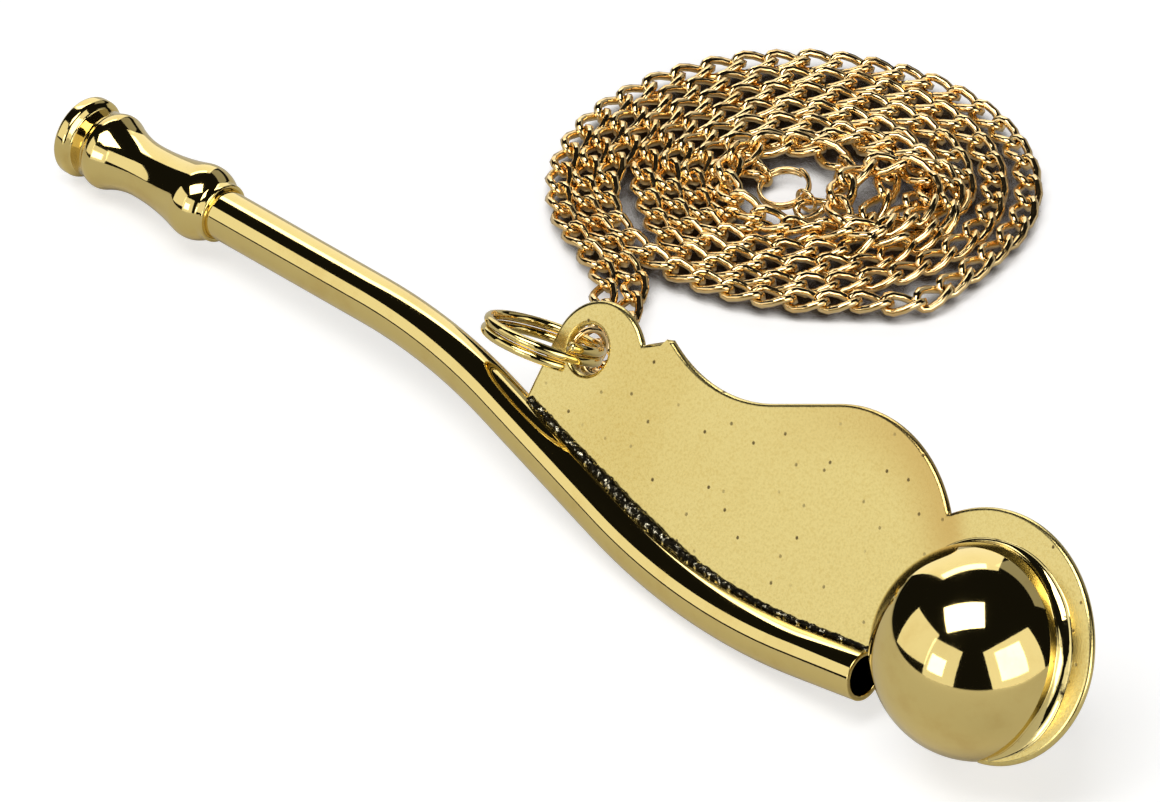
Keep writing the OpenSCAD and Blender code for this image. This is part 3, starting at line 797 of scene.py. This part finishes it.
def stray(s, rho, a):
    near = lambda middle, width: math.exp(-(((a - middle + 180) % 360 - 180) / width) ** 2)
    spot = rho * heading(a) * s["grain"]
    tangle = max(0, cos(a - s["tangleAt"])) ** s["tangleFade"]
    tangle *= min(1, max(0, (s["tangleFrom"] - rho) / s["tangleOver"]))
    tangle *= min(1, rho / s["tangleIn"])
    heaped = noise.noise(s["heapGrain"] * spot + Vector(s["heapPlace"]))
    out = s["mess"] * tangle * noise.noise(spot)
    up = s["heap"] * tangle * max(0, s["heapLeast"] + s["heapSwing"] * heaped)
    roll = s["tumble"] * tangle * noise.noise(s["rollGrain"] * spot + Vector(s["rollPlace"]))
    out += s["gap"] * near(*s["gapAt"]) * (s["gapOut"] if rho > s["gapRow"] else s["gapIn"])
    out += s["bulge"] * near(*s["bulgeAt"]) * min(1, max(0, rho - s["bulgeRow"]))
    return out, up, roll


def strayed(s, points, rho):
    line = []
    for i, p in enumerate(points):
        turnsIn = min(max(i - 1, 0), len(points) - 3)
        a = s["start"] - turnsIn * s["ringStep"]
        out, up, roll = stray(disorder, rho - 2 * s["step"] * turnsIn * s["ringStep"] / 360, a)
        ends = min(1, i / s["easeIn"], (len(points) - 1 - i) / s["easeOut"])
        away = cos(a) * heading(s["turn"]) + sin(a) * upward(s["turn"])
        moved = p + ends * (out * away + Vector((0, 0, up)))
        line.append(Vector((*moved, ends * math.radians(roll))))
    return line


def smoothLine(points, steps):
    ends = [2 * points[0] - points[1], *points, 2 * points[-1] - points[-2]]
    line = []
    for a, b, c, d in zip(ends, ends[1:], ends[2:], ends[3:]):
        for i in range(steps):
            t = i / steps
            line.append(0.5 * (2 * b + (c - a) * t + (2 * a - 5 * b + 4 * c - d) * t ** 2
                               + (3 * b - a - 3 * c + d) * t ** 3))
    return line + [points[-1]]


def spilled(s):
    middle = Vector((*s["innerAt"], 0))
    line = []
    for i, (across, back, up) in enumerate(spill):
        flat = middle + across * heading(s["view"]) + back * upward(s["view"])
        spot = flat + Vector((0, 0, up - s["lift"]))
        roll = noise.noise(Vector((i * s["spillGrain"], s["spillRow"], 0)))
        line.append(Vector((*spot, math.radians(s["spillRoll"]) * roll)))
    return line


# points of a strand, each with its roll as a fourth number
def strandLine(s, lead, rho, rings, leave=None):
    coil = strayed(s, coilPoints(s, rho, rings), rho)
    if leave:
        coil = [*coil[:leave + 2], *spilled(s), coil[-1]]
    line = smoothLine([*(Vector((*p, 0)) for p in lead), *coil], s["smooth"])
    return [p + Vector((0, 0, s["lift"], 0)) for p in line]


# one link: a squared oval of wire, its two ends twisted apart so that the next link threads through flat
def chainLink(s):
    length = s["pitch"] + s["wire"]
    loop = []
    for i in range(s["linkSteps"]):
        a = 360 * (i + 0.5) / s["linkSteps"]
        x = length / 2 * math.copysign(abs(cos(a)) ** (2 / s["square"]), cos(a))
        y = (s["width"] - s["wire"]) / 2 * math.copysign(abs(sin(a)) ** (2 / s["square"]), sin(a))
        turn = s["twist"] * x / (length / 2)
        loop.append(Vector((y * cos(turn), y * sin(turn), x)))
    points, faces = sweptWire(loop, s["wire"] / 2, s["linkSides"], True)
    mesh = bpy.data.meshes.new("chainLink")
    mesh.from_pydata([tuple(p * mm) for p in points], [], faces)
    mesh.shade_smooth()
    link = bpy.data.objects.new("chainLink", mesh)
    bpy.context.scene.collection.objects.link(link)
    return link


# links set along a strand at their pitch, each rolled a little about the strand
def linkTree():
    tree = bpy.data.node_groups.new("linksAlongStrand", "GeometryNodeTree")
    face = tree.interface
    face.new_socket("Geometry", in_out="INPUT", socket_type="NodeSocketGeometry")
    kinds = {"Link": "Object", "Pitch": "Float", "Roll": "Float", "Seed": "Int", "Metal": "Material"}
    for name, kind in kinds.items():
        face.new_socket(name, in_out="INPUT", socket_type="NodeSocket" + kind)
    face.new_socket("Geometry", in_out="OUTPUT", socket_type="NodeSocketGeometry")

    def node(kind, settings, sockets):
        made = tree.nodes.new(kind)
        for key, value in settings.items():
            setattr(made, key, value)
        for key, value in sockets.items():
            if isinstance(value, bpy.types.NodeSocket):
                tree.links.new(value, made.inputs[key])
            else:
                made.inputs[key].default_value = value
        return made

    given = node("NodeGroupInput", {}, {}).outputs
    spots = node("GeometryNodeCurveToPoints", {"mode": "LENGTH"},
                 {"Curve": given["Geometry"], "Length": given["Pitch"]})
    shape = node("GeometryNodeObjectInfo", {}, {"Object": given["Link"]})
    least = node("ShaderNodeMath", {"operation": "MULTIPLY"}, {0: given["Roll"], 1: -1.0})
    chance = node("FunctionNodeRandomValue", {"data_type": "FLOAT"},
                  {2: least.outputs[0], 3: given["Roll"], "Seed": given["Seed"]})
    roll = node("ShaderNodeCombineXYZ", {}, {"Z": chance.outputs[1]})
    lay = node("FunctionNodeRotateRotation", {"rotation_space": "LOCAL"},
               {"Rotation": spots.outputs["Rotation"], "Rotate By": roll.outputs[0]})
    laid = node("GeometryNodeInstanceOnPoints", {},
                {"Points": spots.outputs["Points"], "Instance": shape.outputs["Geometry"],
                 "Rotation": lay.outputs[0]})
    whole = node("GeometryNodeRealizeInstances", {}, {"Geometry": laid.outputs[0]})
    coated = node("GeometryNodeSetMaterial", {}, {"Geometry": whole.outputs[0], "Material": given["Metal"]})
    node("NodeGroupOutput", {}, {"Geometry": coated.outputs[0]})
    return tree


def strandPiece(s, tree, link, letter, line):
    data = bpy.data.curves.new("strand" + letter, "CURVE")
    data.dimensions = "3D"
    data.twist_mode = "Z_UP"
    spline = data.splines.new("POLY")
    spline.points.add(len(line) - 1)
    for point, spot in zip(spline.points, line):
        point.co = (*(spot.xyz * mm), 1)
        point.tilt = spot.w
    holder = bpy.data.objects.new("strand" + letter, data)
    bpy.context.scene.collection.objects.link(holder)
    modifier = holder.modifiers.new("links", "NODES")
    modifier.node_group = tree
    inputs = {i.name: i.identifier for i in tree.interface.items_tree if i.in_out == "INPUT"}
    values = {"Link": link, "Pitch": s["pitch"] * mm, "Roll": math.radians(s["roll"]), "Seed": s["seed"],
              "Metal": chainMetal}
    for name, value in values.items():
        modifier[inputs[name]] = value
    depsgraph = bpy.context.evaluated_depsgraph_get()
    mesh = bpy.data.meshes.new_from_object(holder.evaluated_get(depsgraph))
    bpy.data.objects.remove(holder)
    piece = bpy.data.objects.new("chain" + letter, mesh)
    bpy.context.scene.collection.objects.link(piece)
    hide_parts("chain_lead_" + letter.lower(), "chain_coil_" + letter.lower())
    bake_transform(piece)
    return piece


def chainPieces(s):
    tree = linkTree()
    link = chainLink(s)
    lines = {"A": strandLine(s, leadA, s["coil"], s["ringsA"]),
             "B": strandLine(s, leadB, s["coil"] - s["step"], s["ringsB"], s["leave"])}
    strands = {letter: strandPiece(s, tree, link, letter, line) for letter, line in lines.items()}
    bpy.data.objects.remove(link)
    return strands, lines


strands, strandLines = chainPieces(chain)
print("chain linked:", {k: len(v.data.polygons) for k, v in strands.items()})

# joining ring in the middle of the coil, with a long link to each strand
joiner = {
    "radius": 2.25, "wire": 0.6, "turnWire": 0.42, "turns": 2, "turnSteps": 96, "start": 90, "lean": 12,
    "sides": 12, "linkWire": 0.4, "linkGap": 0.1, "hookGap": 0.12, "room": 0.5, "floorGap": 0.05,
    "leastStraight": 0.1, "bowSteps": 14, "linkSides": 10,
}
coilEnds = [coilPoints(chain, chain["coil"], chain["ringsA"])[-1],
            coilPoints(chain, chain["coil"] - chain["step"], chain["ringsB"])[-1]]


def joinerPieces(s):
    endA, endB = coilEnds
    middle = (endA + endB) / 2
    middle.z = s["wire"] / 2 + s["room"] + s["linkWire"] + s["floorGap"]
    line = angleAt(endA, endB)
    place = (
        floorFrame
        @ Matrix.Translation(middle)
        @ Matrix.Rotation(math.radians(line), 4, "Z")
        @ Matrix.Rotation(math.radians(s["lean"]), 4, "X")
    )
    loop = []
    for i in range(s["turnSteps"] + 1):
        a = s["start"] + 360 * s["turns"] * i / s["turnSteps"]
        rise = s["turnWire"] * s["turns"] * (i / s["turnSteps"] - 0.5)
        loop.append(s["radius"] * heading(a) + Vector((0, 0, rise)))
    points, faces = sweptWire(loop, s["turnWire"] / 2, s["sides"])
    ringPiece = makePiece("joiningRing", points, faces, chainMetal, place)
    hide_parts("joining_ring")
    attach(ringPiece, "joiner")
    inner = s["wire"] / 2 + s["room"]
    bow = inner + s["linkWire"] / 2
    start = inner - s["wire"] / 2 - s["hookGap"]
    made = {"ring": ringPiece}
    for letter, end in zip("AB", coilEnds):
        away = Vector((end.x - middle.x, end.y - middle.y, 0)).normalized()
        hook = middle + s["radius"] * away
        reach = Vector((end.x - hook.x, end.y - hook.y, 0)).length
        straight = max(reach - s["linkGap"] - start - inner - s["linkWire"], s["leastStraight"])
        loop = arcPoints(Vector((start, 0, 0)), bow, 90, 270, s["bowSteps"])
        loop += arcPoints(Vector((start + straight, 0, 0)), bow, -90, 90, s["bowSteps"])
        points, faces = sweptWire(loop, s["linkWire"] / 2, s["linkSides"], True)
        linkPlace = (
            floorFrame
            @ Matrix.Translation(hook)
            @ Matrix.Rotation(math.atan2(away.y, away.x), 4, "Z")
            @ Matrix.Rotation(math.radians(90), 4, "X")
        )
        link = makePiece("joinLink" + letter, points, faces, chainMetal, linkPlace)
        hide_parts("join_link_" + letter.lower())
        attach(link, "call")
        made[letter] = link
    return made


joinerMade = joinerPieces(joiner)
print("strands joined")


# stage: pale floor in a dark room, a softbox overhead and pale cards low all round
studio = {
    "floor": (0.62, 0.61, 0.58), "floorSeen": 1.32, "floorSize": 3, "floorLow": -0.0002, "glow": 0.55,
    "shade": (0.05, 0.035, 0.02), "shadeReach": 0.0037, "shadeSeen": (0.44, 0.68), "shadeSamples": 12,
    "coilAt": (-0.0665, 0.0395, 0), "coilReach": (0.0215, 0.0245), "ringAt": (-0.0676, 0.038, 0),
    "ringReach": (0.0014, 0.0026), "room": (0.008, 0.008, 0.008), "middle": (-0.03, 0.0, 0.01),
    "boxes": [
        {"name": "overhead", "aim": (-87, 71.5), "away": 0.7, "size": (0.5, 0.36), "bright": 5, "roll": 45},
        {"name": "frontCard", "aim": (-123, 22.5), "away": 0.7, "size": (0.56, 0.44), "bright": 1.05,
         "roll": 12},
        {"name": "frontSide", "aim": (-82, 19), "away": 0.7, "size": (0.44, 0.5), "bright": 1.0},
        {"name": "frontLamp", "aim": (-86, 15), "away": 0.66, "size": (0.2, 0.2), "bright": 3},
        {"name": "rightCard", "aim": (0, 20), "away": 0.7, "size": (0.78, 0.62), "bright": 1.1},
        {"name": "rightLamp", "aim": (-4, 22), "away": 0.66, "size": (0.34, 0.36), "bright": 2.6},
        {"name": "leftCard", "aim": (146, 22), "away": 0.7, "size": (0.57, 0.62), "bright": 1.2},
        {"name": "leftStrip", "aim": (150, 41), "away": 0.64, "size": (0.36, 0.09), "bright": 2.4},
        {"name": "backCard", "aim": (95, 25), "away": 0.8, "size": (0.7, 0.4), "bright": 0.35},
    ],
}


def makeFloor(s):
    half = s["floorSize"] / 2
    mesh = bpy.data.meshes.new("floor")
    low = s["floorLow"]
    corners = [(-half, -half, low), (half, -half, low), (half, half, low), (-half, half, low)]
    mesh.from_pydata(corners, [], [(0, 1, 2, 3)])
    paint = Paint("floorPaper")
    seen = paint.node("ShaderNodeLightPath", {}, {}, "Is Camera Ray")
    # painted shade: narrow gaps between the links of the coil go dark, the floor's colour darkened by ambient
    # occlusion
    narrow = {"samples": s["shadeSamples"], "only_local": False}
    clear = paint.node("ShaderNodeAmbientOcclusion", narrow, {"Distance": s["shadeReach"]}, "AO")
    oval = {"Vector": paint.place, "Location": s["coilAt"], "Rotation": (0, 0, math.radians(chain["turn"])),
            "Scale": (1, chain["ratio"], 1)}
    across = paint.node("ShaderNodeMapping", {"vector_type": "TEXTURE"}, oval)
    spot = paint.node("ShaderNodeVectorMath", {"operation": "LENGTH"}, {0: across}, "Value")
    pair = {0: paint.place, 1: s["ringAt"]}
    middle = paint.node("ShaderNodeVectorMath", {"operation": "DISTANCE"}, pair, "Value")
    inside = (1 - paint.between(spot, *s["coilReach"])) * paint.between(middle, *s["ringReach"])
    clearing = 1 - inside * (1 - paint.between(clear, *s["shadeSeen"]))
    pale = (s["floorSeen"], s["floorSeen"], s["floorSeen"], 1)
    lit = paint.mix(clearing, (*s["shade"], 1), pale)
    paper = paint.node("ShaderNodeBsdfDiffuse", {}, {"Color": paint.mix(seen, (*s["floor"], 1), lit)})
    glow = paint.node("ShaderNodeEmission", {}, {"Color": (1, 1, 1, 1), "Strength": 1.0})
    mixed = paint.node("ShaderNodeMixShader", {}, {0: seen * clearing * s["glow"], 1: paper, 2: glow})
    paint.tree.links.new(mixed.socket, paint.tree.nodes["Material Output"].inputs[0])
    mesh.materials.append(paint.material)
    floor = bpy.data.objects.new("floor", mesh)
    bpy.context.scene.collection.objects.link(floor)


def makeLights(s):
    for box in s["boxes"]:
        data = bpy.data.lights.new(box["name"], "AREA")
        data.shape = "RECTANGLE"
        data.size, data.size_y = box["size"]
        data.energy = box["bright"] * math.pi * box["size"][0] * box["size"][1]
        lamp = bpy.data.objects.new(box["name"], data)
        a, e = box["aim"]
        aim = cos(e) * heading(a) + Vector((0, 0, sin(e)))
        lamp.location = Vector(s["middle"]) + aim * box["away"]
        lamp.rotation_mode = "QUATERNION"
        spin = Quaternion((0, 0, 1), math.radians(box.get("roll", 0)))
        lamp.rotation_quaternion = aim.to_track_quat("Z", "Y") @ spin
        lamp.visible_camera = False
        bpy.context.scene.collection.objects.link(lamp)
    world = bpy.data.worlds.new("room")
    world.use_nodes = True
    world.node_tree.nodes["Background"].inputs[0].default_value = (*s["room"], 1)
    bpy.context.scene.world = world


makeFloor(studio)
makeLights(studio)
bpy.context.scene.view_settings.view_transform = "Standard"
print("stage set")
